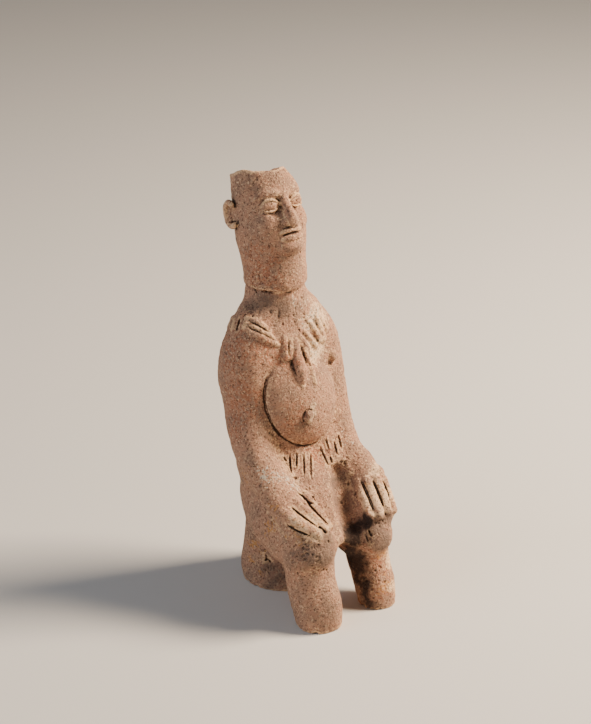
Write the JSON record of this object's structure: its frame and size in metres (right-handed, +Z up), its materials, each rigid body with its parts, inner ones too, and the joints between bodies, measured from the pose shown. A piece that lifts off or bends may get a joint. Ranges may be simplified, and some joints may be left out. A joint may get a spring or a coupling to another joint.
{
  "type": "funerary statuette",
  "caption": "Seated fired-clay grave figure with hands on its knees, a round belly, a corded collar with pendants and a head tilted back whose crown is broken off.",
  "frame": {"origin": "on the ground, under the middle of the figure's box", "axes": "+Z up, the figure faces -Y, its right hand is on the -X side"},
  "size_m": [0.0854, 0.1146, 0.2523],
  "materials": {
    "fired_clay": "matte low-fired clay, worn and smoke-clouded"
  },
  "bodies": {
    "root": {"statuette": "fired_clay"}
  },
  "joints": []
}
